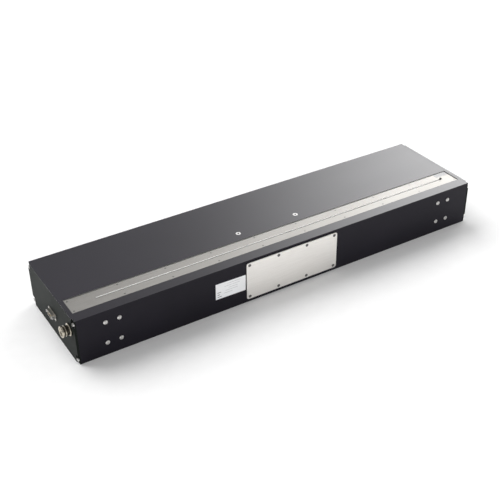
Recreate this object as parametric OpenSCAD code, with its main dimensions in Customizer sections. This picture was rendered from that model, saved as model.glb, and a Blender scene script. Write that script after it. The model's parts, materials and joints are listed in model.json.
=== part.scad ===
// Enclosed linear axis: a guide carriage on a profile rail inside a long flat housing.
// A toothed belt pulls the carriage. A thin blade carries its drive pin up through the slit.
// Frame: origin at the middle of the underside, +X along the housing away from the
// connectors, -Y out of the face with the access plate, +Z up through the cover.

/* [Housing] */
// Length over both end plates
body_length = 820; // [820:5:900]
// Width from the front face to the rear face
body_width = 200; // [196:1:230]
// Height from the seat to the face of the cover
body_height = 86; // [86:1:96]
// Thickness of the base plate
base_thickness = 12; // [11:1:13]
// Thickness of the front and rear walls
wall_thickness = 8; // [7:0.5:9]
// Thickness of the top cover
cover_thickness = 5; // [5:0.5:6]
// Thickness of each end plate
end_plate_thickness = 4; // [3.5:0.5:6]

/* [Slit] */
// Length of the stainless slit strip
strip_length = 803; // [780:1:803]
// Width of the slit strip
strip_width = 40.6; // [38:0.2:42]
// Thickness of the slit strip
strip_thickness = 1.5; // [1:0.1:1.5]
// Depth of the strip's face below the face of the cover
strip_recess = 1; // [0.5:0.1:1]
// Width of the slit that the drive pin's blade runs in
slit_width = 1.4; // [1.4:0.1:2]
// Number of small screws in each of the strip's two rows
strip_screws_per_row = 10; // [4:1:14]

/* [Access plate] */
// Length of the bright plate on the front face
access_length = 190; // [180:1:200]
// Height of that plate
access_height = 74; // [70:1:74]
// Thickness of that plate
access_thickness = 1.6; // [1:0.1:3]

/* [Guide and carriage] */
// Stroke of the carriage
travel = 725; // [600:5:725]
// Width of the profile rail
rail_width = 15; // [15:0.5:16]
// Length of the carriage over its end caps
carriage_length = 61.4; // [56:0.2:64]
// Width of the carriage block
carriage_width = 34; // [33:0.5:34]
// Diameter of the drive pin
pin_diameter = 3; // [2:0.1:3]

/* [Drive] */
// Pitch of the toothed belt
belt_pitch = 3; // [2:1:3]
// Number of teeth on each pulley
pulley_teeth = 25; // [24:1:25]
// Width of the belt
belt_width = 10; // [6:1:10]
// Diameter of the gear motor
motor_diameter = 32; // [24:1:32]

/* [Connectors] */
// Diameter of the round connector's rim
round_connector_diameter = 19.5; // [16:0.5:22]
// How far the round connector stands out of the end plate
round_connector_reach = 15; // [12:0.5:18]

/* [Hidden] */
$fn = 32;

// Colours
black_finish = [0.16, 0.15, 0.18];
cover_finish = [0.3, 0.29, 0.32];
end_finish = [0.2, 0.21, 0.2];
stainless = [0.86, 0.85, 0.83];
steel = [0.6, 0.61, 0.62];
dark_steel = [0.25, 0.25, 0.26];
aluminium = [0.72, 0.73, 0.74];
rubber = [0.08, 0.08, 0.08];
slick_white = [0.88, 0.88, 0.87];
board_green = [0.1, 0.35, 0.2];

// Clearances
gap = 0.3;          // between a moving piece and its neighbours
hole_gap = 0.1;     // between a screw and its hole
seat_gap = 0.2;     // round a sheet that lies in a recess
cut = 1;            // how far a cutter runs past the face it cuts

// Housing planes
end_x = body_length / 2;
inner_x = end_x - end_plate_thickness;
face_y = body_width / 2;
wall_y = face_y - wall_thickness;
cover_z = body_height - cover_thickness;

// Slit strip
strip_y = -58;
slit_y = -57.5;
strip_top = body_height - strip_recess;
strip_bottom = strip_top - strip_thickness;
strip_row = 14.7;
strip_screw_pitch = 88.2;
strip_screw_r = 0.9;
strip_head_r = 1.7;
slit_half = slit_width / 2;
slit_bevel = 2;
slit_rear_bevel = 0.4;
slit_bevel_depth = 0.5;
cover_slot_half = 11;
lip_width = 8;
lip_thickness = 1.6;
clamp_length = 30;
clamp_width = 13;
strip_screw_length = 3;

// Drive pin, at the connector-free end at rest
pin_r = pin_diameter / 2;
pin_x = inner_x - 31;
pin_bottom = strip_top + gap;
pin_top = body_height + 1.5;
blade = [4.8, 0.8];
slit_end_gap = blade[0] / 2 + 0.6;
slit_right = pin_x + slit_end_gap;
slit_left = pin_x - travel - slit_end_gap;
loading_hole_r = 2.5;

// Guide
guide_y = slit_y;
beam_half = 17.5;
beam_top = 30;
rail_top = beam_top + 15;
rail_half_length = 400;
rail_hole_pitch = 60;
rail_hole_count = 13;
rail_screw_r = 2;
rail_head_r = 3.6;
rail_head_depth = 5;
rail_screw_depth = 10;
carriage_x = pin_x - 10;
carriage_bottom = beam_top + 4.3;
carriage_top = beam_top + 28;
end_cap_length = 11;
wiper_thickness = 1.5;
saddle_half = 34;
saddle_front = -76;
saddle_rear = -22.5;
saddle_top = carriage_top + 8;
saddle_screw_offset = 13;
saddle_head_r = 3.5;
saddle_head_depth = 4;
post_half_length = 9;
post_half_width = 7;
post_top = saddle_top + 11;
bumper_gap = 0.8;
bumper_y = -45;
bumper_z = (carriage_top + saddle_top) / 2;
bumper_r = 4;
blade_root = saddle_top + 2;

// Limit sensors, and the two flags on the saddle that reach into them
sensor_half = 7;
sensor_low = 42;
sensor_jaw_low = 50;
sensor_high = 62;
sensor_rear = saddle_front - 1.5;
flag_half = 6.5;
flag_thickness = 1.2;
flag_low = 52;
flag_y = saddle_front - 5;
flag_slot_half = 1.6;
right_flag_x = pin_x + 0.5;
left_flag_x = pin_x - 33.9;

// Belt drive
axis_x = 388;
axis_z = 36;
belt_y = -30;
pulley_pitch_r = pulley_teeth * belt_pitch / (2 * PI);
pulley_tip_r = pulley_pitch_r - 0.4;
tooth_depth = 1.1;
belt_inner_r = pulley_tip_r + gap;
belt_thickness = 1.5;
belt_outer_r = belt_inner_r + belt_thickness;
flange_r = belt_outer_r + 0.9;
flange_thickness = 1;
belt_half = belt_width / 2;
clamp_half = 8;
clamp_jaw = 3.5;
shaft_r = 4;
bearing_r = 8;
bearing_width = 5;
bracket_front = -22;
bracket_thickness = 6;
bracket_half = 15;
bracket_top = 54;
bracket_foot = [5, 8];
coupling_y = [-8, 16];
coupling_r = 8;
coupling_groove_y = [-1, 4, 9];
coupling_groove = 1.2;
motor_front = 22;
motor_r = motor_diameter / 2;
gearbox_length = 20;
motor_length = 30;
encoder_length = 12;
motor_boss_r = 8.5;
motor_boss_length = 3.5;
motor_plate = 4;
motor_foot = [12, 5];
motor_bracket_half = 17;

// Fasteners
small_screw_r = 1.5;
wall_screw_r = 2;
wall_head_r = 3.9;
wall_head_height = 2;
wall_head_rim = 0.8;
wall_head_top_r = 2.4;
wall_socket_r = 1.4;
wall_socket_depth = 1.3;
wall_screw_length = wall_thickness + 6;
wall_screw_x = [333.3, 357.6];
wall_screw_z = [23.8, 64.4];
wall_bracket_x = 345.5;
wall_bracket_length = 44;
wall_bracket_top = 72;
wall_bracket_plate = 7;
wall_bracket_rib = [5, 50];
front_bracket_depth = 12;
rear_bracket_depth = 24;
corner_screw_y = face_y - wall_thickness / 2;
corner_screw_z = [8, 78];
corner_screw_length = 10;
corner_head_r = 3.2;
corner_head_height = 2.4;
corner_socket_r = 1.2;
corner_socket_floor = 0.8;
corner_relief = 2.2;
corner_pocket_y = 9;
corner_pocket_z = [15.7, body_height - 74.2];
cover_screw_x = 61;
cover_screw_y = -17;
cover_screw_r = 2.5;
cover_head_r = 4.75;
cover_screw_length = 16;
cover_socket_r = 1.8;
cover_socket_depth = 2;
post_r = 4.5;
post_hole_depth = 14;

// Access plate
access_x = -1;
access_z = 44;
access_corner_r = 4;
access_screw_x = 59.2;
access_screw_z = 64.2;
access_head_r = 3;
access_hole_depth = 7;
access_screw_depth = 6;
access_socket_r = 1.1;
gasket_thickness = 0.6;
gasket_y = -face_y - gasket_thickness;
plate_y = gasket_y - access_thickness;
window_size = [44, 42];

// Label beside the access plate
label_x = -127;
label_z = 43.5;
label_size = [59.2, 31];
label_thickness = 0.25;
label_tilt = 1;

// Base mounting holes
base_hole_x = 300;
base_hole_y = 80;
base_hole_r = 2.5;
base_hole_depth = 10;

// Connectors in the left end plate
signal_y = 0;
signal_z = 40;
signal_flange = [31, 12.6];
signal_shell = [19, 10.6];
signal_jack_pitch = 25;
signal_jack_r = 2.7;
signal_reach = 6;
signal_flange_thickness = 1;
signal_wall = 0.8;
signal_lean = 1.6;
signal_contact_pitch = 2.77;
signal_contact_r = 0.6;
signal_body = [18, 9.2];
round_y = -78;
round_z = 58;
round_r = round_connector_diameter / 2;
round_body_r = 8.6;
round_flange_r = 11;
round_flange_thickness = 2.5;
round_socket_r = 7.2;
round_socket_depth = 6;
round_contact_ring = 4.2;
round_contact_r = 0.8;
round_tip = -end_x - round_connector_reach;

// Electronics in the rear bay
board_x = [-320, -120];
board_y = [8, 84];
board_z = 20;
board_top = board_z + 1.6;
capacitor_r = 8;
capacitor_height = 24.4;
chip_size = 22;
chip_height = 3;
terminal_x = [-318, -308];
terminal_y = [20, 56];
terminal_top = 33;
cable_r = 1.8;

// Basic shapes, given by their limits
module block(low, high) {
    translate(low)
        cube(high - low);
}

module rod_x(x0, x1, y, z, r) {
    translate([x0, y, z])
        rotate([0, 90, 0])
            cylinder(h = x1 - x0, r = r);
}

module rod_y(x, y0, y1, z, r) {
    translate([x, y1, z])
        rotate([90, 0, 0])
            cylinder(h = y1 - y0, r = r);
}

module rod_z(x, y, z0, z1, r) {
    translate([x, y, z0])
        cylinder(h = z1 - z0, r = r);
}

// A slot with round ends, cut along X
module slot_x(x0, x1, y, z0, z1, half) {
    block([x0, y - half, z0], [x1, y + half, z1]);
    rod_z(x0, y, z0, z1, half);
    rod_z(x1, y, z0, z1, half);
}

// A plate in the X-Z plane with round corners
module round_plate(x, z, size, corner, y0, y1) {
    across = size[0] / 2 - corner;
    up = size[1] / 2 - corner;
    block([x - across, y0, z - up - corner], [x + across, y1, z + up + corner]);
    block([x - across - corner, y0, z - up], [x + across + corner, y1, z + up]);
    for (sx = [-1, 1], sz = [-1, 1])
        rod_y(x + sx * across, y0, y1, z + sz * up, corner);
}

// A screw that points down, its flat head sunk flush at z_top
module sunk_screw_z(x, y, z_top, length, r, head_r) {
    head = head_r - r;
    translate([x, y, z_top - head])
        cylinder(h = head, r1 = r, r2 = head_r);
    rod_z(x, y, z_top - length, z_top - head, r);
}

// The hole that such a screw sits in
module sunk_hole_z(x, y, z_top, length, r, head_r) {
    head = head_r - r;
    translate([x, y, z_top - head])
        cylinder(h = head, r1 = r + hole_gap, r2 = head_r + hole_gap);
    rod_z(x, y, z_top - length, z_top - head, r + hole_gap);
    rod_z(x, y, z_top, z_top + cut, head_r + hole_gap);
}

// A button-headed screw with a hex socket, through the front wall (side -1) or the rear wall (1)
module wall_screw(x, z, side) {
    mirror([0, side > 0 ? 1 : 0, 0])
        translate([x, -face_y, z])
            rotate([90, 0, 0])
                difference() {
                    union() {
                        translate([0, 0, -wall_screw_length])
                            cylinder(h = wall_screw_length, r = wall_screw_r);
                        cylinder(h = wall_head_rim, r = wall_head_r);
                        translate([0, 0, wall_head_rim])
                            cylinder(h = wall_head_height - wall_head_rim, r1 = wall_head_r,
                                r2 = wall_head_top_r);
                    }
                    translate([0, 0, wall_head_height - wall_socket_depth])
                        cylinder(h = wall_head_height, r = wall_socket_r, $fn = 6);
                }
}

// Housing
module base_plate() {
    color(aluminium)
        difference() {
            block([-inner_x, -wall_y, 0], [inner_x, wall_y, base_thickness]);
            for (sx = [-1, 1], sy = [-1, 1])
                rod_z(sx * base_hole_x, sy * base_hole_y, -cut, base_hole_depth, base_hole_r);
        }
}

module wall_windows() {
    for (i = [-1, 0, 1])
        translate([access_x + i * access_screw_x, 0, access_z])
            block([-window_size[0] / 2, -face_y - cut, -window_size[1] / 2],
                [window_size[0] / 2, -wall_y + cut, window_size[1] / 2]);
}

module front_wall() {
    color(black_finish)
        difference() {
            block([-inner_x, -face_y, 0], [inner_x, -wall_y, cover_z]);
            wall_windows();
            for (sx = [-1, 1], x = wall_screw_x, z = wall_screw_z)
                rod_y(sx * x, -face_y - cut, -wall_y + cut, z, wall_screw_r + hole_gap);
            access_holes(-face_y + access_hole_depth);
            corner_screw_holes(-1);
        }
}

module rear_wall() {
    color(black_finish)
        difference() {
            block([-inner_x, wall_y, 0], [inner_x, face_y, cover_z]);
            for (sx = [-1, 1], x = wall_screw_x, z = wall_screw_z)
                rod_y(sx * x, wall_y - cut, face_y + cut, z, wall_screw_r + hole_gap);
            corner_screw_holes(1);
        }
}

// Tapped holes in the ends of a wall, for the end plates' corner screws
module corner_screw_holes(side) {
    for (sx = [-1, 1], z = corner_screw_z)
        translate([sx * inner_x, side * corner_screw_y, z])
            rotate([0, 90, 0])
                cylinder(h = 3 * corner_screw_length, r = small_screw_r + hole_gap, center = true);
}

module top_cover() {
    color(cover_finish)
        difference() {
            block([-inner_x, -face_y, cover_z], [inner_x, face_y, body_height]);
            block([-strip_length / 2 - seat_gap, strip_y - strip_width / 2 - seat_gap, strip_bottom],
                [strip_length / 2 + seat_gap, strip_y + strip_width / 2 + seat_gap, body_height + cut]);
            slot_x(slit_left, slit_right, slit_y, cover_z - cut, body_height + cut, cover_slot_half);
            for (side = [-1, 1], i = [0:strip_screws_per_row - 1])
                rod_z(strip_screw_x(i), strip_y + side * strip_row, strip_top - strip_screw_length - hole_gap,
                    body_height, strip_screw_r + hole_gap);
            for (sx = [-1, 1])
                sunk_hole_z(sx * cover_screw_x, cover_screw_y, body_height, cover_thickness + cut,
                    cover_screw_r, cover_head_r);
        }
}

module end_plate_blank(side) {
    mirror([side < 0 ? 1 : 0, 0, 0])
        difference() {
            block([inner_x, -face_y, 0], [end_x, face_y, body_height]);
            for (sy = [-1, 1]) {
                corner_pocket(sy, -cut, corner_pocket_z[0]);
                corner_pocket(sy, body_height - corner_pocket_z[1], body_height + cut);
                for (z = corner_screw_z)
                    rod_x(inner_x - cut, end_x + cut, sy * corner_screw_y, z, small_screw_r + hole_gap);
            }
        }
}

// The thinned corner that a corner screw's head sits in
module corner_pocket(sy, z0, z1) {
    y0 = face_y - corner_pocket_y;
    y1 = face_y + cut;
    block([end_x - corner_relief, min(sy * y0, sy * y1), z0],
        [end_x + cut, max(sy * y0, sy * y1), z1]);
}

module left_end_plate() {
    color(end_finish)
        difference() {
            end_plate_blank(-1);
            signal_box(signal_shell, -end_x - cut, -inner_x + cut);
            for (side = [-1, 1])
                rod_x(-end_x - cut, -inner_x + cut, signal_y + side * signal_jack_pitch / 2, signal_z,
                    small_screw_r + hole_gap);
            rod_x(-end_x - cut, -inner_x + cut, round_y, round_z, round_body_r + hole_gap);
        }
}

module right_end_plate() {
    color(end_finish)
        end_plate_blank(1);
}

module end_plate_screws() {
    color(steel)
        for (side = [0, 1], sy = [-1, 1], z = corner_screw_z)
            mirror([side, 0, 0])
                difference() {
                    union() {
                        rod_x(inner_x - corner_screw_length, end_x - corner_relief, sy * corner_screw_y, z,
                            small_screw_r);
                        rod_x(end_x - corner_relief, end_x - corner_relief + corner_head_height,
                            sy * corner_screw_y, z, corner_head_r);
                    }
                    translate([end_x - corner_relief + corner_socket_floor, sy * corner_screw_y, z])
                        rotate([0, 90, 0])
                            cylinder(h = corner_head_height, r = corner_socket_r, $fn = 6);
                }
}

// Slit strip and what holds it
function strip_screw_x(i) = (i - (strip_screws_per_row - 1) / 2) * strip_screw_pitch
    * 9 / (strip_screws_per_row - 1);

module slit_strip() {
    color(stainless)
        difference() {
            block([-strip_length / 2, strip_y - strip_width / 2, strip_bottom],
                [strip_length / 2, strip_y + strip_width / 2, strip_top]);
            slot_x(slit_left, slit_right, slit_y, strip_bottom - cut, strip_top + cut, slit_half);
            rod_z(pin_x, slit_y, strip_bottom - cut, strip_top + cut, loading_hole_r);
            slit_bevels();
            strip_clamp_seat();
            for (side = [-1, 1], i = [0:strip_screws_per_row - 1])
                sunk_hole_z(strip_screw_x(i), strip_y + side * strip_row, strip_top, strip_thickness + cut,
                    strip_screw_r, strip_head_r);
        }
}

// Shallow bevels that lead down to both edges of the slit, wide in front and narrow behind
module slit_bevels() {
    front = slit_half + slit_bevel;
    rear = slit_half + slit_rear_bevel;
    translate([slit_left, slit_y, strip_top])
        rotate([90, 0, 90])
            linear_extrude(slit_right - slit_left)
                polygon([[-front, 0], [-slit_half, -slit_bevel_depth], [slit_half, -slit_bevel_depth],
                    [rear, 0], [rear, cut], [-front, cut]]);
}

// The seat of the small clamp plate at the strip's rear right corner
module strip_clamp_seat() {
    block([strip_length / 2 - clamp_length, strip_y + strip_width / 2 - clamp_width, strip_bottom - cut],
        [strip_length / 2 + cut, strip_y + strip_width / 2 + cut, strip_top + cut]);
}

module strip_clamp() {
    x0 = strip_length / 2 - clamp_length + seat_gap;
    x1 = strip_length / 2;
    y0 = strip_y + strip_width / 2 - clamp_width + seat_gap;
    y1 = strip_y + strip_width / 2;
    color(aluminium)
        difference() {
            block([x0, y0, strip_bottom], [x1, y1, strip_top]);
            for (i = [0:strip_screws_per_row - 1])
                sunk_hole_z(strip_screw_x(i), strip_y + strip_row, strip_top, strip_thickness + cut,
                    strip_screw_r, strip_head_r);
        }
}

module strip_screws() {
    color(steel)
        for (side = [-1, 1], i = [0:strip_screws_per_row - 1])
            sunk_screw_z(strip_screw_x(i), strip_y + side * strip_row, strip_top, strip_screw_length,
                strip_screw_r, strip_head_r);
}

module seal_lips() {
    color(slick_white)
        for (side = [-1, 1])
            translate([(slit_left + slit_right) / 2, slit_y + side * (slit_half + lip_width / 2),
                    strip_bottom - lip_thickness / 2])
                cube([slit_right - slit_left, lip_width, lip_thickness], center = true);
}

module cover_screws() {
    color(steel)
        for (sx = [-1, 1])
            difference() {
                sunk_screw_z(sx * cover_screw_x, cover_screw_y, body_height, cover_screw_length,
                    cover_screw_r, cover_head_r);
                translate([sx * cover_screw_x, cover_screw_y, body_height - cover_socket_depth])
                    cylinder(h = cover_socket_depth + cut, r = cover_socket_r, $fn = 6);
            }
}

module cover_posts() {
    color(aluminium)
        for (sx = [-1, 1])
            difference() {
                rod_z(sx * cover_screw_x, cover_screw_y, base_thickness, cover_z, post_r);
                rod_z(sx * cover_screw_x, cover_screw_y, cover_z - post_hole_depth, cover_z + cut,
                    cover_screw_r + hole_gap);
            }
}

// Access plate and label on the front face
function access_places() = [for (i = [-1.5:1:1.5], side = [-1, 1])
    [access_x + i * access_screw_x, access_z + side * access_screw_z / 2]];

module access_holes(y1) {
    for (place = access_places())
        rod_y(place[0], plate_y - cut, y1, place[1], small_screw_r + hole_gap);
}

module access_plate() {
    color(stainless)
        difference() {
            round_plate(access_x, access_z, [access_length, access_height], access_corner_r, plate_y,
                gasket_y);
            access_holes(gasket_y + cut);
            for (place = access_places())
                access_screw_head(place, hole_gap);
        }
}

// The cone of a sunk head in the access plate, grown by more
module access_screw_head(place, more) {
    head = access_head_r - small_screw_r;
    translate([place[0], plate_y, place[1]])
        rotate([-90, 0, 0])
            cylinder(h = head, r1 = access_head_r + more, r2 = small_screw_r + more);
}

module access_gasket() {
    color(rubber)
        difference() {
            round_plate(access_x, access_z, [access_length - 1, access_height - 1], access_corner_r,
                gasket_y, -face_y);
            access_holes(-face_y + cut);
            wall_windows();
        }
}

module access_screws() {
    head = access_head_r - small_screw_r;
    color(dark_steel)
        for (place = access_places())
            difference() {
                union() {
                    access_screw_head(place, 0);
                    rod_y(place[0], plate_y + head, -face_y + access_screw_depth, place[1],
                        small_screw_r);
                }
                translate([place[0], plate_y + 1, place[1]])
                    rotate([90, 0, 0])
                        cylinder(h = 1 + cut, r = access_socket_r, $fn = 6);
            }
}

module rating_label() {
    color("white")
        translate([label_x, -face_y, label_z])
            rotate([0, label_tilt, 0])
                block([-label_size[0] / 2, -label_thickness, -label_size[1] / 2],
                    [label_size[0] / 2, 0, label_size[1] / 2]);
}

// Brackets that tie the walls to the base
module wall_bracket(sx, sy) {
    x0 = sx * wall_bracket_x - wall_bracket_length / 2;
    x1 = sx * wall_bracket_x + wall_bracket_length / 2;
    depth = sy < 0 ? front_bracket_depth : rear_bracket_depth;
    plate = wall_bracket_plate;
    rib = wall_bracket_rib[0];
    color(aluminium)
        mirror([0, sy > 0 ? 1 : 0, 0])
            difference() {
                union() {
                    block([x0, -wall_y, base_thickness], [x1, -wall_y + plate, wall_bracket_top]);
                    block([x0, -wall_y, base_thickness], [x1, -wall_y + depth, base_thickness + plate]);
                    for (x = [x0, x1 - rib])
                        block([x, -wall_y, base_thickness], [x + rib, -wall_y + depth, wall_bracket_rib[1]]);
                }
                for (x = wall_screw_x, z = wall_screw_z)
                    rod_y(sx * x, -wall_y - cut, -wall_y + plate + cut, z, wall_screw_r + hole_gap);
            }
}

module front_bracket_left() {
    wall_bracket(-1, -1);
}

module front_bracket_right() {
    wall_bracket(1, -1);
}

module rear_bracket_left() {
    wall_bracket(-1, 1);
}

module rear_bracket_right() {
    wall_bracket(1, 1);
}

module front_wall_screws() {
    color(steel)
        for (sx = [-1, 1], x = wall_screw_x, z = wall_screw_z)
            wall_screw(sx * x, z, -1);
}

module rear_wall_screws() {
    color(steel)
        for (sx = [-1, 1], x = wall_screw_x, z = wall_screw_z)
            wall_screw(sx * x, z, 1);
}

// Guide
module rail_beam() {
    color(aluminium)
        difference() {
            block([-rail_half_length, guide_y - beam_half, base_thickness],
                [rail_half_length, guide_y + beam_half, beam_top]);
            for (i = [0:rail_hole_count - 1])
                rod_z(rail_hole_x(i), guide_y, beam_top - rail_screw_depth - 2, beam_top + cut,
                    rail_screw_r + hole_gap);
        }
}

function rail_hole_x(i) = (i - (rail_hole_count - 1) / 2) * rail_hole_pitch;

// Half of the rail's section, waisted where the ball rows run; grown by more
function rail_half_section(more) = [
    [rail_width / 2 + more, beam_top],
    [rail_width / 2 + more, beam_top + 6.5],
    [rail_width / 2 + more - 2, beam_top + 8.5],
    [rail_width / 2 + more - 2, beam_top + 10],
    [rail_width / 2 + more, beam_top + 12],
    [rail_width / 2 + more, rail_top - 1 + more],
    [rail_width / 2 - 1 + more, rail_top + more]
];

module rail_section(more) {
    half = rail_half_section(more);
    polygon(concat(half, [for (i = [len(half) - 1:-1:0]) [-half[i][0], half[i][1]]]));
}

// Extrudes a section drawn in the Y-Z plane between two X stations
module along_x(x0, x1, y) {
    translate([x0, y, 0])
        rotate([90, 0, 90])
            linear_extrude(x1 - x0)
                children();
}

module guide_rail() {
    color(steel)
        difference() {
            along_x(-rail_half_length, rail_half_length, guide_y)
                rail_section(0);
            for (i = [0:rail_hole_count - 1]) {
                rod_z(rail_hole_x(i), guide_y, beam_top - cut, rail_top + cut, rail_screw_r + hole_gap);
                rod_z(rail_hole_x(i), guide_y, rail_top - rail_head_depth, rail_top + cut,
                    rail_head_r + hole_gap);
            }
        }
}

module rail_screws() {
    color(dark_steel)
        for (i = [0:rail_hole_count - 1]) {
            rod_z(rail_hole_x(i), guide_y, beam_top - rail_screw_depth, rail_top - rail_head_depth,
                rail_screw_r);
            rod_z(rail_hole_x(i), guide_y, rail_top - rail_head_depth, rail_top - 1, rail_head_r);
        }
}

module end_bumpers() {
    right_face = carriage_x + saddle_half + bumper_gap;
    left_face = carriage_x - travel - saddle_half - bumper_gap;
    color(rubber) {
        rod_x(right_face, inner_x, bumper_y, bumper_z, bumper_r);
        rod_x(-inner_x, left_face, bumper_y, bumper_z, bumper_r);
    }
}

// Carriage: recirculating block, end caps and wipers
module carriage_section(more) {
    difference() {
        translate([-carriage_width / 2, carriage_bottom])
            square([carriage_width, carriage_top - carriage_bottom - more]);
        rail_section(gap);
    }
}

module carriage_block() {
    half = carriage_length / 2 - end_cap_length;
    color(steel)
        difference() {
            along_x(carriage_x - half, carriage_x + half, guide_y)
                carriage_section(0);
            saddle_screw_rods(carriage_top - 6, carriage_top + cut, wall_screw_r + hole_gap);
        }
}

module carriage_end_caps() {
    cap = end_cap_length - wiper_thickness;
    half = carriage_length / 2 - end_cap_length;
    color(rubber)
        for (side = [0, 1])
            translate([carriage_x + (side == 0 ? half : -half - cap), 0, 0])
                along_x(0, cap, guide_y)
                    carriage_section(0.6);
}

module carriage_wipers() {
    half = carriage_length / 2;
    color(dark_steel)
        for (side = [0, 1])
            translate([carriage_x + (side == 0 ? half - wiper_thickness : -half), 0, 0])
                along_x(0, wiper_thickness, guide_y)
                    carriage_section(1);
}

// Saddle on the carriage, with what it carries
module saddle_screw_rods(z0, z1, r) {
    for (sx = [-1, 1], sy = [-1, 1])
        rod_z(carriage_x + sx * saddle_screw_offset, guide_y + sy * saddle_screw_offset, z0, z1, r);
}

module saddle() {
    color(aluminium)
        difference() {
            block([carriage_x - saddle_half, saddle_front, carriage_top],
                [carriage_x + saddle_half, saddle_rear, saddle_top]);
            saddle_screw_rods(carriage_top - cut, saddle_top + cut, wall_screw_r + hole_gap);
            saddle_screw_rods(saddle_top - saddle_head_depth, saddle_top + cut, saddle_head_r + hole_gap);
        }
}

module saddle_screws() {
    color(dark_steel) {
        saddle_screw_rods(carriage_top - 5, saddle_top - saddle_head_depth, wall_screw_r);
        saddle_screw_rods(saddle_top - saddle_head_depth, saddle_top - 0.5, saddle_head_r);
    }
}

module driver_post() {
    color(dark_steel)
        difference() {
            block([pin_x - post_half_length, slit_y - post_half_width, saddle_top],
                [pin_x + post_half_length, slit_y + post_half_width, post_top]);
            driver_blade(post_top + cut);
        }
}

// The blade that stands in the driver post and passes through the slit
module driver_blade(top) {
    block([pin_x - blade[0] / 2, slit_y - blade[1] / 2, blade_root],
        [pin_x + blade[0] / 2, slit_y + blade[1] / 2, top]);
}

module drive_pin() {
    color(dark_steel) {
        driver_blade(pin_bottom);
        rod_z(pin_x, slit_y, pin_bottom, pin_top, pin_r);
    }
}

// The clamp grips the belt's upper run
module belt_clamp() {
    run_low = axis_z + belt_inner_r - gap;
    run_high = axis_z + belt_outer_r + gap;
    x0 = carriage_x - clamp_half;
    x1 = carriage_x + clamp_half;
    y0 = belt_y - belt_half - 1.5;
    y1 = belt_y + belt_half + gap;
    y2 = saddle_rear;
    jaw_low = run_low - clamp_jaw;
    color(aluminium) {
        block([x0, y0, run_high], [x1, y2, carriage_top]);
        block([x0, y1, jaw_low], [x1, y2, run_high]);
        block([x0, y0, jaw_low], [x1, y1, run_low]);
    }
}

// Bent strips on the saddle's front edge, each with a blade that hangs in a sensor's slot
module sensor_flags() {
    color(steel)
        for (x = [left_flag_x, right_flag_x]) {
            block([x - flag_half, flag_y - flag_thickness / 2, saddle_top - flag_thickness],
                [x + flag_half, saddle_front, saddle_top]);
            block([x - flag_half, flag_y - flag_thickness / 2, flag_low],
                [x + flag_half, flag_y + flag_thickness / 2, saddle_top - flag_thickness]);
        }
}

// Fork sensors on the front wall, one for each end of the stroke
module limit_sensors() {
    color(rubber)
        for (x = [right_flag_x, left_flag_x - travel])
            difference() {
                block([x - sensor_half, -wall_y, sensor_low], [x + sensor_half, sensor_rear, sensor_high]);
                block([x - sensor_half - cut, flag_y - flag_slot_half, sensor_jaw_low],
                    [x + sensor_half + cut, flag_y + flag_slot_half, sensor_high + cut]);
            }
}

// Belt drive
module timing_belt() {
    color(rubber)
        translate([0, belt_y, axis_z])
            rotate([90, 0, 0])
                linear_extrude(belt_width, center = true)
                    difference() {
                        belt_outline(belt_outer_r);
                        belt_outline(belt_inner_r);
                    }
}

module belt_outline(r) {
    square([2 * axis_x, 2 * r], center = true);
    for (sx = [-1, 1])
        translate([sx * axis_x, 0])
            circle(r = r, $fn = 64);
}

// The toothed section of a pulley, bored
module pulley_section(bore_r) {
    difference() {
        circle(r = pulley_tip_r, $fn = 64);
        circle(r = bore_r);
        for (i = [0:pulley_teeth - 1])
            rotate(i * 360 / pulley_teeth)
                translate([pulley_tip_r, 0])
                    square([2 * tooth_depth, belt_pitch / 2], center = true);
    }
}

module pulley(x, bore_r) {
    color(aluminium)
        translate([x, belt_y, axis_z])
            rotate([90, 0, 0]) {
                linear_extrude(belt_width + 2 * gap, center = true)
                    pulley_section(bore_r);
                for (side = [-1, 1])
                    translate([0, 0, side * (belt_half + gap + flange_thickness / 2)])
                        linear_extrude(flange_thickness, center = true)
                            difference() {
                                circle(r = flange_r, $fn = 64);
                                circle(r = bore_r);
                            }
            }
}

module drive_pulley() {
    pulley(-axis_x, shaft_r);
}

module idler_pulley() {
    pulley(axis_x, bearing_r);
}

// An upright plate with a foot, bored on the belt's axis
module axis_bracket(x, bore_r) {
    y1 = bracket_front + bracket_thickness;
    color(aluminium)
        difference() {
            union() {
                block([x - bracket_half, bracket_front, base_thickness], [x + bracket_half, y1, bracket_top]);
                block([x - bracket_half, bracket_front, base_thickness],
                    [x + bracket_half, y1 + bracket_foot[0], base_thickness + bracket_foot[1]]);
            }
            rod_y(x, bracket_front - cut, y1 + cut, axis_z, bore_r);
        }
}

module ring_y(x, y0, y1, outer_r, inner_r) {
    difference() {
        rod_y(x, y0, y1, axis_z, outer_r);
        rod_y(x, y0 - cut, y1 + cut, axis_z, inner_r);
    }
}

module drive_bracket() {
    axis_bracket(-axis_x, bearing_r);
}

module drive_bearing() {
    color(steel)
        ring_y(-axis_x, bracket_front, bracket_front + bearing_width, bearing_r, shaft_r + 0.05);
}

module drive_shaft() {
    color(steel)
        rod_y(-axis_x, belt_y - belt_half - 2, 2, axis_z, shaft_r);
}

module shaft_coupling() {
    color(aluminium)
        difference() {
            ring_y(-axis_x, coupling_y[0], coupling_y[1], coupling_r, shaft_r);
            for (y = coupling_groove_y)
                ring_y(-axis_x, y, y + coupling_groove, coupling_r + cut, coupling_r - 1.8);
        }
}

module motor_bracket() {
    x0 = -axis_x - motor_bracket_half;
    x1 = -axis_x + motor_bracket_half;
    color(aluminium)
        difference() {
            union() {
                block([x0, motor_front - motor_plate, base_thickness], [x1, motor_front, bracket_top]);
                block([x0, motor_front - motor_foot[0], base_thickness],
                    [x1, motor_front, base_thickness + motor_foot[1]]);
            }
            rod_y(-axis_x, motor_front - motor_plate - cut, motor_front + cut, axis_z, motor_boss_r + 0.5);
        }
}

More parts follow.
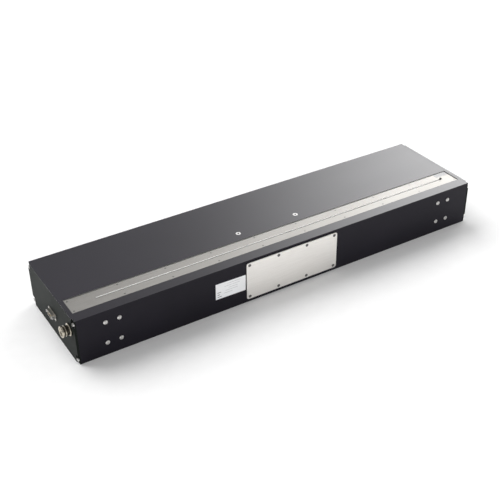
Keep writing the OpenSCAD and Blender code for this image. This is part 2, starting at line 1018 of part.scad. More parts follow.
module motor_gearbox() {
    color(steel) {
        rod_y(-axis_x, motor_front, motor_front + gearbox_length, axis_z, motor_r);
        rod_y(-axis_x, motor_front - motor_boss_length, motor_front, axis_z, motor_boss_r);
    }
}

module motor_body() {
    y0 = motor_front + gearbox_length;
    color(black_finish)
        rod_y(-axis_x, y0, y0 + motor_length, axis_z, motor_r - 1);
}

module motor_encoder() {
    y0 = motor_front + gearbox_length + motor_length;
    color(rubber)
        rod_y(-axis_x, y0, y0 + encoder_length, axis_z, motor_r - 2);
}

module idler_bracket() {
    axis_bracket(axis_x, shaft_r);
}

module idler_axle() {
    color(steel)
        rod_y(axis_x, belt_y - belt_half - 2, bracket_front + bracket_thickness, axis_z, shaft_r);
}

module idler_bearing() {
    color(steel)
        ring_y(axis_x, belt_y - belt_half, belt_y + belt_half, bearing_r - 0.05, shaft_r);
}

// Control board and what stands on it
module control_board() {
    color(board_green)
        block([board_x[0], board_y[0], board_z], [board_x[1], board_y[1], board_top]);
}

module board_standoffs() {
    inset = 6;
    color(steel)
        for (x = [board_x[0] + inset, board_x[1] - inset], y = [board_y[0] + inset, board_y[1] - inset])
            rod_z(x, y, base_thickness, board_z, 3);
}

module board_components() {
    color(dark_steel) {
        for (i = [0:3])
            rod_z(-300 + i * (2 * capacitor_r + 4), 70, board_top, board_top + capacitor_height, capacitor_r);
        for (i = [0:2])
            translate([-220 + i * (chip_size + 10), board_y[0] + 14, board_top])
                cube([chip_size, chip_size, chip_height]);
        block([terminal_x[0], terminal_y[0], board_top], [terminal_x[1], terminal_y[1], terminal_top]);
    }
}

// A cable through a list of points
module cable(points) {
    for (i = [0:len(points) - 2])
        hull()
            for (point = [points[i], points[i + 1]])
                translate(point)
                    sphere(r = cable_r, $fn = 10);
}

module internal_cables() {
    terminal = (terminal_x[0] + terminal_x[1]) / 2;
    plug_z = terminal_top + 2;
    behind_plate = -inner_x + 5;
    color(rubber) {
        cable([[behind_plate, round_y, round_z], [behind_plate, round_y, 74], [behind_plate, 36, 74],
            [-380, 52, 72], [-330, 42, 62], [terminal, 37, plug_z]]);
        cable([[-inner_x + 4, signal_y, signal_z + 6.6], [-inner_x + 4, 4, 60], [-350, 24, 60],
            [terminal, 26, plug_z]]);
        cable([[-axis_x, 78, axis_z + motor_r], [-375, 72, 58], [-330, 60, 58], [terminal, 50, plug_z]]);
    }
}

// Nine-way signal connector
module signal_box(size, x0, x1) {
    block([x0, signal_y - size[0] / 2, signal_z - size[1] / 2],
        [x1, signal_y + size[0] / 2, signal_z + size[1] / 2]);
}

// The connector's D-shaped outline, grown by more
module signal_outline(x0, x1, more) {
    y = signal_shell[0] / 2 + more;
    z = signal_shell[1] / 2 + more;
    translate([x0, signal_y, signal_z])
        rotate([90, 0, 90])
            linear_extrude(x1 - x0)
                polygon([[-y, z], [y, z], [y - signal_lean, -z], [-y + signal_lean, -z]]);
}

module signal_jack_rods(x0, x1, r) {
    for (side = [-1, 1])
        rod_x(x0, x1, signal_y + side * signal_jack_pitch / 2, signal_z, r);
}

module signal_connector_shell() {
    flange_x = -end_x - signal_flange_thickness;
    color(stainless)
        difference() {
            union() {
                signal_box(signal_flange, flange_x, -end_x);
                signal_outline(-end_x - signal_reach, flange_x, 0);
            }
            signal_outline(-end_x - signal_reach - cut, -end_x + cut, -signal_wall);
            signal_jack_rods(flange_x - cut, -end_x + cut, small_screw_r + hole_gap);
        }
}

module signal_connector_insert() {
    color(rubber)
        difference() {
            union() {
                signal_outline(-end_x - signal_reach + signal_wall, -end_x, -signal_wall - hole_gap);
                signal_box(signal_body, -end_x, -inner_x + 8);
            }
            for (row = [0, 1], i = [0:4 - row])
                rod_x(-end_x - signal_reach, -end_x - 2, signal_y + (i - 2 + row / 2) * signal_contact_pitch,
                    signal_z + (0.5 - row) * signal_contact_pitch, signal_contact_r);
        }
}

module signal_jackscrews() {
    flange_x = -end_x - signal_flange_thickness;
    color(steel)
        difference() {
            union() {
                for (side = [-1, 1])
                    translate([-end_x - signal_reach, signal_y + side * signal_jack_pitch / 2, signal_z])
                        rotate([0, 90, 0])
                            cylinder(h = signal_reach - signal_flange_thickness, r = signal_jack_r, $fn = 6);
                signal_jack_rods(flange_x, -inner_x + 2, small_screw_r);
            }
            signal_jack_rods(-end_x - signal_reach - cut, flange_x - cut, small_screw_r - 0.2);
        }
}

// Round power connector
module power_connector_shell() {
    color(steel)
        difference() {
            union() {
                rod_x(round_tip, -inner_x + 3, round_y, round_z, round_body_r);
                rod_x(round_tip, round_tip + 4, round_y, round_z, round_r);
                rod_x(round_tip + 6, round_tip + 8, round_y, round_z, round_r - 0.4);
                rod_x(-end_x - round_flange_thickness, -end_x, round_y, round_z, round_flange_r);
            }
            rod_x(round_tip - cut, -inner_x + 4, round_y, round_z, round_socket_r);
        }
}

module power_connector_insert() {
    face = round_tip + round_socket_depth;
    color(rubber)
        difference() {
            rod_x(face, -inner_x + 3, round_y, round_z, round_socket_r - hole_gap);
            for (i = [0:5])
                rotate_about_round(i * 60)
                    rod_x(face - cut, face + 3, round_y, round_z + round_contact_ring, round_contact_r);
        }
}

module rotate_about_round(angle) {
    translate([0, round_y, round_z])
        rotate([angle, 0, 0])
            translate([0, -round_y, -round_z])
                children();
}

base_plate();
front_wall();
rear_wall();
top_cover();
left_end_plate();
right_end_plate();
end_plate_screws();
slit_strip();
strip_screws();
strip_clamp();
seal_lips();
cover_screws();
cover_posts();
access_plate();
access_gasket();
access_screws();
rating_label();
front_bracket_left();
front_bracket_right();
rear_bracket_left();
rear_bracket_right();
front_wall_screws();
rear_wall_screws();
rail_beam();
guide_rail();
rail_screws();
end_bumpers();
limit_sensors();
carriage_block();
carriage_end_caps();
carriage_wipers();
saddle();
saddle_screws();
driver_post();
drive_pin();
belt_clamp();
sensor_flags();
timing_belt();
drive_bracket();
drive_bearing();
drive_shaft();
drive_pulley();
shaft_coupling();
motor_bracket();
motor_gearbox();
motor_body();
motor_encoder();
idler_bracket();
idler_axle();
idler_bearing();
idler_pulley();
control_board();
board_standoffs();
board_components();
internal_cables();
signal_connector_shell();
signal_connector_insert();
signal_jackscrews();
power_connector_shell();
power_connector_insert();
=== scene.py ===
"""Looks for the enclosed linear axis: finishes, printed label, connectors, studio light and camera."""
import json
import math

import bmesh
import bpy
from mathutils import Matrix, Vector

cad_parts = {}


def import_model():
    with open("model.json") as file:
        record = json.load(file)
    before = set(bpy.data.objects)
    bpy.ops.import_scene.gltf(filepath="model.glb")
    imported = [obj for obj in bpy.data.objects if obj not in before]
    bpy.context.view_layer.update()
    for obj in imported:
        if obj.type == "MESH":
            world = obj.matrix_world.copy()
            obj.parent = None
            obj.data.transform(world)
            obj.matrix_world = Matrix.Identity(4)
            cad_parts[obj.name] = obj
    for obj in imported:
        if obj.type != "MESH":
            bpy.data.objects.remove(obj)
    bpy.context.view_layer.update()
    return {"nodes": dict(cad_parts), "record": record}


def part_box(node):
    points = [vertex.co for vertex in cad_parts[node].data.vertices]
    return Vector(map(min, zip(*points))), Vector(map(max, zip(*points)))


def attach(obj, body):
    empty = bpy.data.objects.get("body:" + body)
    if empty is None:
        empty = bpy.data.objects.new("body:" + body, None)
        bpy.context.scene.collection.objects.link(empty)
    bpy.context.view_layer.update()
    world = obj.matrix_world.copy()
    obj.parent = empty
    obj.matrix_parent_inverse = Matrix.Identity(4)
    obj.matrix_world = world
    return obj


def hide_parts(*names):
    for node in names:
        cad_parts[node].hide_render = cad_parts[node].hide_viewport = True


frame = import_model()
NODES = frame["nodes"]
MM = 0.001
# colour of the painted highlight on upward-leaning bevels
EDGE_HIGHLIGHT_METAL = (0.75, 0.75, 0.76)
LOOKS_UP = 0.9          # a face whose normal rises at least this much counts as a top face
POCKET_MARGIN = 0.4 * MM
FLOOR_DROP = 0.1 * MM   # the floor lies this far under the part, so their faces don't coincide
JOIN_WITHIN = 0.01 * MM
FLAT_WITHIN = math.radians(0.5)
SHARP_FROM = math.radians(40)


# ---------------------------------------------------------------- node materials

def colour(value):
    """A grey level or an RGB triple as RGBA."""
    if isinstance(value, (int, float)):
        return (value, value, value, 1.0)
    return (*value[:3], 1.0)


class Graph:
    """A small helper that adds shader nodes and links them."""

    def __init__(self, name):
        self.material = bpy.data.materials.new(name)
        self.material.use_nodes = True
        self.tree = self.material.node_tree
        self.tree.nodes.clear()
        output = self.tree.nodes.new("ShaderNodeOutputMaterial")
        self.shader = self.tree.nodes.new("ShaderNodeBsdfPrincipled")
        self.tree.links.new(self.shader.outputs["BSDF"], output.inputs["Surface"])
        self.coords = self.tree.nodes.new("ShaderNodeTexCoord").outputs["Object"]

    def set(self, **values):
        for name, value in values.items():
            self.shader.inputs[name.replace("_", " ")].default_value = value

    def link(self, output, name):
        self.tree.links.new(output, self.shader.inputs[name])

    def stretched(self, scale):
        """Object coordinates scaled by a vector, for grain that runs one way."""
        node = self.tree.nodes.new("ShaderNodeMapping")
        node.inputs["Scale"].default_value = scale
        self.tree.links.new(self.coords, node.inputs["Vector"])
        return node.outputs["Vector"]

    def noise(self, scale, detail=3.0, vector=None, roughness=0.5):
        node = self.tree.nodes.new("ShaderNodeTexNoise")
        node.inputs["Scale"].default_value = scale
        node.inputs["Detail"].default_value = detail
        node.inputs["Roughness"].default_value = roughness
        self.tree.links.new(vector or self.coords, node.inputs["Vector"])
        return node.outputs["Fac"]

    def ramp(self, value, low, high, start=0.3, end=0.7):
        """Maps a value between start and end to colours or grey levels."""
        node = self.tree.nodes.new("ShaderNodeValToRGB")
        node.color_ramp.elements[0].position = start
        node.color_ramp.elements[1].position = end
        node.color_ramp.elements[0].color = colour(low)
        node.color_ramp.elements[1].color = colour(high)
        self.tree.links.new(value, node.inputs["Fac"])
        return node.outputs["Color"]

    def mix(self, factor, a, b):
        node = self.tree.nodes.new("ShaderNodeMix")
        node.data_type = "RGBA"
        self.plug(node.inputs[0], factor)
        self.plug(node.inputs[6], a)
        self.plug(node.inputs[7], b)
        return node.outputs[2]

    def plug(self, socket, value):
        if isinstance(value, bpy.types.NodeSocket):
            self.tree.links.new(value, socket)
        elif socket.type == "RGBA":
            socket.default_value = colour(value)
        else:
            socket.default_value = value

    def edge_highlight_mask(self):
        """Mask of a painted highlight: 1 on faces that lean between upright and level, 0 on upright, level
        and lower faces.
        """
        normal = self.tree.nodes.new("ShaderNodeNewGeometry").outputs["True Normal"]
        parts = self.tree.nodes.new("ShaderNodeSeparateXYZ")
        self.tree.links.new(normal, parts.inputs[0])
        upright = 0.25
        leaning = 0.4
        nearly_level = 0.93
        flat = 0.98
        lifted = self.ramp(parts.outputs["Z"], 0.0, 1.0, upright, leaning)
        level = self.ramp(parts.outputs["Z"], 0.0, 1.0, nearly_level, flat)
        return self.mix(level, lifted, 0.0)

    def bump(self, *heights):
        """Adds bump layers, each (height output, strength, distance in metres)."""
        normal = None
        for height, strength, distance in heights:
            node = self.tree.nodes.new("ShaderNodeBump")
            node.inputs["Strength"].default_value = strength
            node.inputs["Distance"].default_value = distance
            self.tree.links.new(height, node.inputs["Height"])
            if normal is not None:
                self.tree.links.new(normal, node.inputs["Normal"])
            normal = node.outputs["Normal"]
        self.tree.links.new(normal, self.shader.inputs["Normal"])


def anodised(name, dark, light, rough, ior=1.5, painted_edge_highlight=False):
    """Satin anodised aluminium: fine bead-blast grain, faint cloudiness and wiped marks.

    With the edge highlight flag, bare-metal colour and metallic finish are painted where a face leans
    between upright and level, on the upper edges: a painted highlight for the light those edges catch.
    """
    g = Graph(name)
    cloud = g.noise(7.0, 4.0)
    wiped = g.noise(5.0, 5.0, g.stretched((0.5, 3.0, 3.0)), 0.65)
    grain = 2600.0
    fine = g.noise(grain, 2.0)
    body = g.mix(g.ramp(fine, 0.0, 0.35, 0.45, 0.75), g.ramp(cloud, dark, light), light)
    if painted_edge_highlight:
        # painted highlight: bare-metal colour and metallic finish on the upward-leaning bevels, for the
        # light they catch
        bare = g.edge_highlight_mask()
        body = g.mix(bare, body, EDGE_HIGHLIGHT_METAL)
        g.link(bare, "Metallic")
    g.link(body, "Base Color")
    g.link(g.mix(g.ramp(wiped, 0.0, 0.5, 0.45, 0.7), rough[0], rough[1]), "Roughness")
    g.set(IOR=ior)
    g.bump((fine, 0.12, 0.00006), (g.noise(grain * 0.3, 2.0), 0.05, 0.0002))
    return g.material


def brushed(name, dark, light, stretch, rough):
    """Brushed metal: streaks along one axis in colour, roughness and bump, with faint smudges."""
    g = Graph(name)
    scale = 60.0
    streaks = g.noise(scale, 5.0, g.stretched(stretch), 0.7)
    smudge = g.noise(14.0, 3.0)
    scratches = g.noise(scale * 3.0, 2.0, g.stretched((stretch[0] * 0.4, stretch[1], stretch[2])), 0.8)
    g.link(g.mix(g.ramp(smudge, 0.0, 0.3), g.ramp(streaks, dark, light), dark), "Base Color")
    g.link(g.mix(g.ramp(smudge, 0.0, 0.4), g.ramp(streaks, rough[0], rough[1]), rough[1]), "Roughness")
    g.set(Metallic=1.0)
    g.bump((streaks, 0.12, 0.00008), (g.ramp(scratches, 0.0, 1.0, 0.6, 0.75), 0.08, 0.00005))
    return g.material


def machined(name, dark, light, rough):
    """Turned or milled metal with fine grain."""
    g = Graph(name)
    grain = 900.0
    fine = g.noise(grain, 3.0)
    cloud = g.noise(40.0, 3.0)
    g.link(g.ramp(fine, dark, light), "Base Color")
    g.link(g.ramp(cloud, rough[0], rough[1]), "Roughness")
    g.set(Metallic=1.0)
    g.bump((fine, 0.1, 0.00005))
    return g.material


def moulded(name, dark, light, rough=(0.45, 0.65), scale=1500.0):
    """Plastic or rubber with a fine moulded texture."""
    g = Graph(name)
    fine = g.noise(scale, 3.0)
    cloud = g.noise(30.0, 3.0)
    g.link(g.ramp(cloud, dark, light), "Base Color")
    g.link(g.ramp(fine, rough[0], rough[1]), "Roughness")
    g.set(IOR=1.5)
    g.bump((fine, 0.2, 0.00008))
    return g.material


def floor_paint():
    """Matt white paint."""
    g = Graph("studio_floor")
    fine = g.noise(40.0, 3.0)
    g.link(g.ramp(fine, 0.90, 0.92), "Base Color")
    g.link(g.ramp(fine, 0.7, 0.85), "Roughness")
    g.set(Specular_IOR_Level=0.2)
    g.bump((fine, 0.02, 0.0005))
    return g.material


ALONG_X = (0.6, 26.0, 26.0)
MATERIALS = {
    "black_anodised": anodised("black_anodised", (0.0075, 0.0065, 0.011), (0.011, 0.0095, 0.0155),
                               (0.34, 0.42), 1.25),
    "cover_anodised": anodised("cover_anodised", (0.0085, 0.0075, 0.012), (0.012, 0.0105, 0.0165),
                               (0.285, 0.32)),
    # end plates: painted highlight on the upward-leaning bevels of their top edges
    "end_anodised": anodised("end_anodised", (0.010, 0.0125, 0.011), (0.014, 0.017, 0.015), (0.42, 0.5),
                             1.1, painted_edge_highlight=True),
    "stainless": brushed("stainless", (0.30, 0.29, 0.272), (0.395, 0.384, 0.368), ALONG_X, (0.45, 0.54)),
    "bright_sheet": brushed("bright_sheet", (0.86, 0.835, 0.80), (0.96, 0.94, 0.91), ALONG_X, (0.42, 0.55)),
    "grey_sheet": brushed("grey_sheet", (0.26, 0.26, 0.26), (0.34, 0.34, 0.34), ALONG_X, (0.5, 0.6)),
    "nickel": machined("nickel", (0.46, 0.42, 0.34), (0.60, 0.55, 0.46), (0.18, 0.3)),
    "bright_screws": machined("bright_screws", (0.62, 0.61, 0.59), (0.80, 0.79, 0.77), (0.25, 0.4)),
    "steel": machined("ground_steel", (0.42, 0.43, 0.44), (0.56, 0.57, 0.58), (0.18, 0.3)),
    "dark_steel": machined("black_oxide", (0.03, 0.03, 0.032), (0.06, 0.06, 0.062), (0.3, 0.45)),
    "aluminium": machined("milled_aluminium", (0.55, 0.56, 0.57), (0.68, 0.69, 0.70), (0.3, 0.45)),
    "black_rubber": moulded("black_rubber", (0.010, 0.010, 0.010), (0.018, 0.018, 0.018), (0.6, 0.8)),
    "dark_plastic": moulded("dark_plastic", (0.018, 0.018, 0.02), (0.03, 0.03, 0.033)),
    "white_seal": moulded("white_seal", (0.86, 0.86, 0.85), (0.90, 0.90, 0.89), (0.4, 0.55)),
    "label_paper": moulded("label_film", (0.90, 0.91, 0.93), (0.94, 0.945, 0.955), (0.35, 0.5), 1200.0),
    "circuit_board": moulded("solder_mask", (0.01, 0.08, 0.035), (0.015, 0.11, 0.05), (0.25, 0.4), 300.0),
}
DARK_NICKEL = machined("dark_nickel", (0.055, 0.05, 0.04), (0.10, 0.09, 0.07), (0.28, 0.4))
DULL_SCREWS = machined("dull_screws", (0.13, 0.128, 0.125), (0.22, 0.217, 0.21), (0.35, 0.5))
GREY_SCREWS = machined("grey_screws", (0.46, 0.455, 0.45), (0.60, 0.595, 0.59), (0.35, 0.5))
BRIGHT_SHELL = machined("bright_shell", (0.72, 0.69, 0.63), (0.86, 0.83, 0.78), (0.2, 0.32))
CONTACT_GOLD = machined("contact_gold", (0.75, 0.56, 0.25), (0.88, 0.68, 0.34), (0.15, 0.3))
PRINT_INK = moulded("print_ink", (0.10, 0.10, 0.11), (0.16, 0.16, 0.17), (0.5, 0.6))
FAINT_INK = moulded("faint_ink", (0.50, 0.51, 0.53), (0.58, 0.59, 0.61), (0.5, 0.6))

EDGE_WIDTH = {
    "slit_strip": 0.15, "strip_screws": 0.08, "rating_label": 0.05, "access_plate": 0.3, "top_cover": 0.35,
    "front_wall": 0.3, "rear_wall": 0.3, "left_end_plate": 0.7, "right_end_plate": 0.7,
}
USUAL_EDGE_WIDTH = 0.15
OWN_FINISH = {
    "access_screws": DULL_SCREWS, "strip_screws": DULL_SCREWS,
    "signal_connector_shell": BRIGHT_SHELL,
}


def top_finish_and_painted_shade(name, top, others):
    """Gives faces that look straight up one finish and all other faces another; on the cover screws the
    other faces take black-oxide steel as painted shade.
    """
    mesh = NODES[name].data
    mesh.materials.clear()
    mesh.materials.append(top)
    mesh.materials.append(others)
    for face in mesh.polygons:
        face.material_index = 0 if face.normal.z > LOOKS_UP else 1


def bare_pocket(name, inlay):
    """Leaves bare metal on the faces of the pocket that an inlay lies in."""
    obj = NODES[name]
    obj.data.materials.append(MATERIALS["aluminium"])
    bare = len(obj.data.materials) - 1
    low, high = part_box(inlay)
    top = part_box(name)[1].z - 0.1 * MM
    for face in obj.data.polygons:
        centre = obj.matrix_world @ face.center
        inside = all(low[i] - POCKET_MARGIN < centre[i] < high[i] + POCKET_MARGIN for i in (0, 1))
        if inside and low.z - POCKET_MARGIN < centre.z < top:
            face.material_index = bare


def dress_cad_nodes():
    """Gives every CAD node its slot's finish, or its own, and softens its edges.

    Flat faces are merged first, because softening tears faces that are cut into long triangles.
    """
    slots = {s["node"]: s["material_slot"] for s in frame["record"]["subparts"]}
    for name, obj in NODES.items():
        obj.data.materials.clear()
        obj.data.materials.append(OWN_FINISH.get(name, MATERIALS[slots[name]]))
        weld = obj.modifiers.new("join_split_corners", "WELD")
        weld.merge_threshold = JOIN_WITHIN
        merged = obj.modifiers.new("whole_flat_faces", "DECIMATE")
        merged.decimate_type = "DISSOLVE"
        merged.angle_limit = FLAT_WITHIN
        bevel = obj.modifiers.new("soft_edges", "BEVEL")
        bevel.width = EDGE_WIDTH.get(name, USUAL_EDGE_WIDTH) * MM
        bevel.segments = 2
        bevel.limit_method = "ANGLE"
        bevel.angle_limit = SHARP_FROM
        bevel.use_clamp_overlap = True
        flat = obj.modifiers.new("flat_faces", "WEIGHTED_NORMAL")
        flat.weight = 100
        flat.keep_sharp = True
    top_finish_and_painted_shade("top_cover", MATERIALS["cover_anodised"], MATERIALS["black_anodised"])
    bare_pocket("top_cover", "slit_strip")
    for name in ("left_end_plate", "right_end_plate"):
        top_finish_and_painted_shade(name, MATERIALS["cover_anodised"], MATERIALS["end_anodised"])
    # painted shade: the cover screws' socket walls and sides are black-oxide steel so they read as shaded,
    # their up-facing faces grey steel
    top_finish_and_painted_shade("cover_screws", GREY_SCREWS, MATERIALS["dark_steel"])


dress_cad_nodes()


# ---------------------------------------------------------------- pieces made here

def add_piece(name, mesh_builder, materials, body="housing"):
    """Makes an object from a bmesh that mesh_builder fills, riding on a body."""
    bm = bmesh.new()
    mesh_builder(bm)
    bmesh.ops.recalc_face_normals(bm, faces=bm.faces)
    mesh = bpy.data.meshes.new(name)
    bm.to_mesh(mesh)
    bm.free()
    for material in materials:
        mesh.materials.append(material)
    obj = bpy.data.objects.new(name, mesh)
    bpy.context.scene.collection.objects.link(obj)
    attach(obj, body)
    return obj


def lathe_x(bm, outline, centre, turns, indices=None):
    """Turns an outline of (x, radius) points round a line along X; a radius of 0 closes an end."""
    rings = []
    for x, radius in outline:
        if radius == 0:
            rings.append([bm.verts.new((x, centre[0], centre[1]))])
            continue
        ring = []
        for i in range(turns):
            angle = 2 * math.pi * i / turns
            ring.append(bm.verts.new((x, centre[0] + radius * math.cos(angle),
                                      centre[1] + radius * math.sin(angle))))
        rings.append(ring)
    count = len(rings)
    for k in range(count if len(rings[0]) > 1 else count - 1):
        a = rings[k]
        b = rings[(k + 1) % count]
        for i in range(turns):
            j = (i + 1) % turns
            corners = [a[i % len(a)], a[j % len(a)], b[j % len(b)], b[i % len(b)]]
            corners = list(dict.fromkeys(corners))
            face = bm.faces.new(corners)
            face.smooth = True
            if indices:
                face.material_index = indices[k]


def closed_box(bm, low, high, index=0):
    """A box between two corners, all in one of the piece's materials."""
    verts = [bm.verts.new((x, y, z)) for x in (low[0], high[0]) for y in (low[1], high[1])
             for z in (low[2], high[2])]
    for corners in ((0, 1, 3, 2), (4, 6, 7, 5), (0, 4, 5, 1), (2, 3, 7, 6), (0, 2, 6, 4), (1, 5, 7, 3)):
        bm.faces.new([verts[i] for i in corners]).material_index = index


def label_print():
    """Plain bars on the label, in place of its print."""
    low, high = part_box("rating_label")
    face_y = low.y + 0.01 * MM
    ink = 0.02 * MM
    left = low.x + 3.5 * MM
    top = high.z - 5.0 * MM
    row_pitch = 4.4 * MM
    bold = 0.6 * MM
    thin = 0.4 * MM
    dark_rows = ((3, 7.0), (4, 5.0), (5, 8.0))
    faint_rows = ((0, 20.0, 26.0), (1, 14.0, 30.0), (2, 22.0, 18.0), (3, 16.0, 24.0), (4, 13.0, 17.0))

    def build(bm):
        for row, length in dark_rows:
            z = top - row * row_pitch
            closed_box(bm, (left, face_y - ink, z - bold), (left + length * MM, face_y, z + bold))
        for row, start, length in faint_rows:
            z = top - row * row_pitch
            closed_box(bm, (left + start * MM, face_y - ink, z - thin),
                       (left + (start + length) * MM, face_y, z + thin), 1)

    add_piece("label_print", build, [PRINT_INK, FAINT_INK])


def power_connector():
    """The round connector's shell, turned with a rim, a threaded barrel, a groove and a flange."""
    low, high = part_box("power_connector_shell")
    centre = ((low.y + high.y) / 2, (low.z + high.z) / 2)
    tip = low.x
    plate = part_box("left_end_plate")[0].x
    flange_r = (high.y - low.y) / 2
    rim_r = flange_r - 1.25 * MM
    barrel_r = flange_r - 2.4 * MM
    socket_r = flange_r - 3.8 * MM
    chamfer = 0.5 * MM
    rim_length = 4.0 * MM
    thread_pitch = 0.9 * MM
    thread_depth = 0.4 * MM
    ring_start = tip + 6.0 * MM
    ring_end = tip + 8.0 * MM
    ring_r = rim_r - 0.4 * MM
    flange_start = plate - 2.5 * MM
    outline = [(tip + chamfer, socket_r), (tip, socket_r + chamfer), (tip, rim_r - chamfer),
               (tip + chamfer, rim_r), (tip + rim_length - chamfer, rim_r),
               (tip + rim_length, rim_r - chamfer)]
    finish = [0] * len(outline)

    def thread(x, stop):
        while x < stop:
            outline.extend([(x, barrel_r), (x + thread_pitch / 2, barrel_r - thread_depth)])
            finish.extend([1, 1])
            x += thread_pitch

    thread(tip + rim_length, ring_start - thread_pitch / 2)
    outline += [(ring_start, barrel_r), (ring_start, ring_r - chamfer), (ring_start + chamfer, ring_r),
                (ring_end - chamfer, ring_r), (ring_end, ring_r - chamfer), (ring_end, barrel_r)]
    finish += [0] * 5 + [1]
    thread(ring_end + thread_pitch, flange_start - thread_pitch)
    outline += [(flange_start, barrel_r), (flange_start, flange_r - chamfer),
                (flange_start + chamfer, flange_r), (plate, flange_r), (plate, barrel_r),
                (high.x, barrel_r), (high.x, socket_r)]
    finish += [0] * 7

    def build(bm):
        lathe_x(bm, outline, centre, 72, finish)

    shell = add_piece("power_connector_turned", build, [MATERIALS["nickel"], DARK_NICKEL])
    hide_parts("power_connector_shell")


def contact(bm, x0, x1, centre, radius):
    """A contact pin along X with a rounded tip at x0."""
    outline = [(x0, 0), (x0 + radius * 0.15, radius * 0.55), (x0 + radius * 0.5, radius * 0.87),
               (x0 + radius, radius), (x1, radius), (x1, 0)]
    lathe_x(bm, outline, centre, 16)


def contacts():
    """Gilded contacts: two rows in the D-shaped connector, a ring of six in the round one."""
    low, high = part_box("signal_connector_shell")
    y = (low.y + high.y) / 2
    z = (low.z + high.z) / 2
    pitch = 2.77 * MM
    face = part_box("signal_connector_insert")[0].x

    def build_signal(bm):
        for row in (0, 1):
            for i in range(5 - row):
                place = (y + (i - 2 + row / 2) * pitch, z + (0.5 - row) * pitch)
                contact(bm, face - 0.5 * MM, face + 3.0 * MM, place, 0.5 * MM)

    add_piece("signal_contacts", build_signal, [CONTACT_GOLD])
    round_low, round_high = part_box("power_connector_insert")
    centre_y = (round_low.y + round_high.y) / 2
    centre_z = (round_low.z + round_high.z) / 2
    ring = 4.2 * MM

    def build_round(bm):
        for i in range(6):
            angle = math.radians(60 * i)
            place = (centre_y + ring * math.sin(angle), centre_z + ring * math.cos(angle))
            contact(bm, round_low.x - 3.0 * MM, round_low.x + 2.8 * MM, place, 0.75 * MM)

    add_piece("power_contacts", build_round, [CONTACT_GOLD])


def slit_lips():
    """White lips with an upstand that lines the slit and a thin bead over its edges."""
    low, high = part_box("seal_lips")
    pin_low, pin_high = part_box("drive_pin")
    slit_y = (pin_low.y + pin_high.y) / 2
    pin_x = (pin_low.x + pin_high.x) / 2
    loading_hole_reach = 2.6 * MM
    hole_start = pin_x - loading_hole_reach
    strip_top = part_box("slit_strip")[1].z
    slit_half = 0.7 * MM
    lining = 0.25 * MM
    overlap = 0.15 * MM
    bead = 0.2 * MM
    inner = slit_half - lining
    outer = (high.y - low.y) / 2
    flange = [(slit_half, low.z), (outer, low.z), (outer, high.z), (slit_half, high.z)]
    formed = [(inner, low.z), (outer, low.z), (outer, high.z), (slit_half, high.z), (slit_half, strip_top),
              (slit_half + overlap, strip_top), (slit_half + overlap * 0.8, strip_top + bead * 0.8),
              (slit_half + overlap * 0.4, strip_top + bead), (slit_half - lining * 0.4, strip_top + bead),
              (inner, strip_top + bead * 0.6)]

    def build(bm):
        for side in (-1, 1):
            for outline, start, end in ((formed, low.x, hole_start), (flange, hole_start, high.x)):
                rings = [[bm.verts.new((x, slit_y + side * y, z)) for y, z in outline] for x in (start, end)]
                for i in range(len(outline)):
                    j = (i + 1) % len(outline)
                    bm.faces.new((rings[0][i], rings[0][j], rings[1][j], rings[1][i]))
                bm.faces.new(rings[0])
                bm.faces.new(rings[1])

    lips = add_piece("seal_lips_formed", build, [MATERIALS["white_seal"]])
    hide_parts("seal_lips")


label_print()
power_connector()
contacts()
slit_lips()


# ---------------------------------------------------------------- stage, light and camera

def floor():
    """A wide white floor just under the part."""
    size = 30.0
    mesh = bpy.data.meshes.new("floor")
    mesh.from_pydata([(-size, -size, 0), (size, -size, 0), (size, size, 0), (-size, size, 0)], [],
                     [(0, 1, 2, 3)])
    obj = bpy.data.objects.new("floor", mesh)
    obj.location.z = -FLOOR_DROP
    mesh.materials.append(floor_paint())
    bpy.context.scene.collection.objects.link(obj)


def hang(name, light, turn, place=(0.0, 0.0, 0.0)):
    """Hangs a lamp that lights surfaces but isn't mirrored in them."""
    obj = bpy.data.objects.new(name, light)
    obj.location = place
    obj.rotation_euler = turn.to_euler()
    obj.visible_glossy = False
    bpy.context.scene.collection.objects.link(obj)


def softbox(name, place, target, size, power):
    """A large rectangular lamp that points at a target."""
    light = bpy.data.lights.new(name, "AREA")
    light.shape = "RECTANGLE"
    light.size = size[0]
    light.size_y = size[1]
    light.energy = power
    direction = Vector(target) - Vector(place)
    hang(name, light, direction.to_track_quat("-Z", "Y"), place)


def far_softbox(name, towards, spread, strength):
    """A wide soft light far off in one direction, so that the floor is lit evenly."""
    light = bpy.data.lights.new(name, "SUN")
    light.angle = math.radians(spread)
    light.energy = strength
    hang(name, light, Vector(towards).to_track_quat("Z", "Y"))


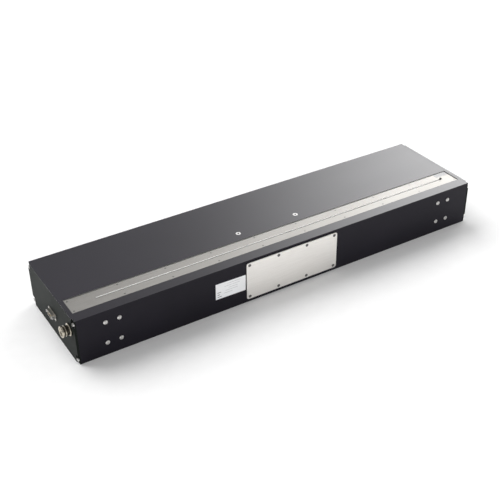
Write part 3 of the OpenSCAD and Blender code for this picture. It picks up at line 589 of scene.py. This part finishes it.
def world():
    """A pale studio: one bright soft panel behind the right end, and a white backdrop along the horizon.

    Diffuse rays see an even light in place of both, and the softboxes give matt surfaces the rest.
    """
    azimuth = math.radians(62)
    height = math.radians(25)
    panel = (math.sin(azimuth) * math.cos(height), math.cos(azimuth) * math.cos(height), math.sin(height))
    by_angle = ((180, 0.36), (80, 0.4), (45, 0.42), (38, 0.5), (32, 0.65), (28, 1.25), (22, 3.9), (16, 6.2),
                (0, 7.0))
    backdrop = 1.0
    backdrop_full = 8
    backdrop_gone = 24
    ambient = 0.5
    studio = bpy.data.worlds.new("studio")
    studio.use_nodes = True
    tree = studio.node_tree
    direction = tree.nodes.new("ShaderNodeTexCoord").outputs["Generated"]
    dot = tree.nodes.new("ShaderNodeVectorMath")
    dot.operation = "DOT_PRODUCT"
    tree.links.new(direction, dot.inputs[0])
    dot.inputs[1].default_value = panel
    spread = tree.nodes.new("ShaderNodeMapRange")
    spread.inputs["From Min"].default_value = -1.0
    tree.links.new(dot.outputs["Value"], spread.inputs["Value"])
    peak = max(level for _, level in by_angle)
    stops = tree.nodes.new("ShaderNodeValToRGB")
    tree.links.new(spread.outputs["Result"], stops.inputs["Fac"])
    elements = stops.color_ramp.elements
    while len(elements) < len(by_angle):
        elements.new(0.5)
    for element, (angle, level) in zip(elements, by_angle):
        element.position = (math.cos(math.radians(angle)) + 1.0) / 2.0
        element.color = colour(level / peak)
    split = tree.nodes.new("ShaderNodeSeparateXYZ")
    tree.links.new(direction, split.inputs[0])
    low_down = tree.nodes.new("ShaderNodeMapRange")
    low_down.interpolation_type = "SMOOTHSTEP"
    low_down.inputs["From Min"].default_value = math.sin(math.radians(backdrop_full))
    low_down.inputs["From Max"].default_value = math.sin(math.radians(backdrop_gone))
    low_down.inputs["To Min"].default_value = backdrop / peak
    low_down.inputs["To Max"].default_value = 0.0
    tree.links.new(split.outputs["Z"], low_down.inputs["Value"])
    brighter = tree.nodes.new("ShaderNodeMix")
    brighter.data_type = "RGBA"
    brighter.blend_type = "LIGHTEN"
    brighter.inputs[0].default_value = 1.0
    tree.links.new(stops.outputs["Color"], brighter.inputs[6])
    tree.links.new(low_down.outputs["Result"], brighter.inputs[7])
    mirrored = tree.nodes["Background"]
    mirrored.inputs["Strength"].default_value = peak
    tree.links.new(brighter.outputs[2], mirrored.inputs["Color"])
    even = tree.nodes.new("ShaderNodeBackground")
    even.inputs["Color"].default_value = colour(ambient)
    rays = tree.nodes.new("ShaderNodeLightPath")
    both = tree.nodes.new("ShaderNodeMixShader")
    tree.links.new(rays.outputs["Is Diffuse Ray"], both.inputs[0])
    tree.links.new(mirrored.outputs[0], both.inputs[1])
    tree.links.new(even.outputs[0], both.inputs[2])
    tree.links.new(both.outputs[0], tree.nodes["World Output"].inputs["Surface"])
    bpy.context.scene.world = studio


def camera():
    """The camera stands to the left of the front face and looks down along the housing."""
    place = Vector((-0.7646, -1.2127, 0.9554))
    azimuth = math.radians(31.317)
    down = math.radians(33.114)
    roll = math.radians(-0.776)
    look = Vector((math.sin(azimuth) * math.cos(down), math.cos(azimuth) * math.cos(down), -math.sin(down)))
    right = look.cross(Vector((0, 0, 1))).normalized()
    up = right.cross(look)
    turned_right = right * math.cos(roll) + up * math.sin(roll)
    turned_up = up * math.cos(roll) - right * math.sin(roll)
    rotation = Matrix((turned_right, turned_up, -look)).transposed().to_4x4()
    data = bpy.data.cameras.new("camera")
    data.lens = 66.37
    data.sensor_width = 36.0
    data.clip_start = 0.01
    obj = bpy.data.objects.new("camera", data)
    obj.matrix_world = Matrix.Translation(place) @ rotation
    bpy.context.scene.collection.objects.link(obj)
    bpy.context.scene.camera = obj


floor()
world()
far_softbox("window_light", (-0.55, 1.5, 1.4), 58, 2.8)
softbox("front_fill", (0.5, -2.2, 1.1), (0.0, 0.0, 0.0), (1.5, 1.0), 9)
camera()
bpy.context.scene.view_settings.view_transform = "Standard"
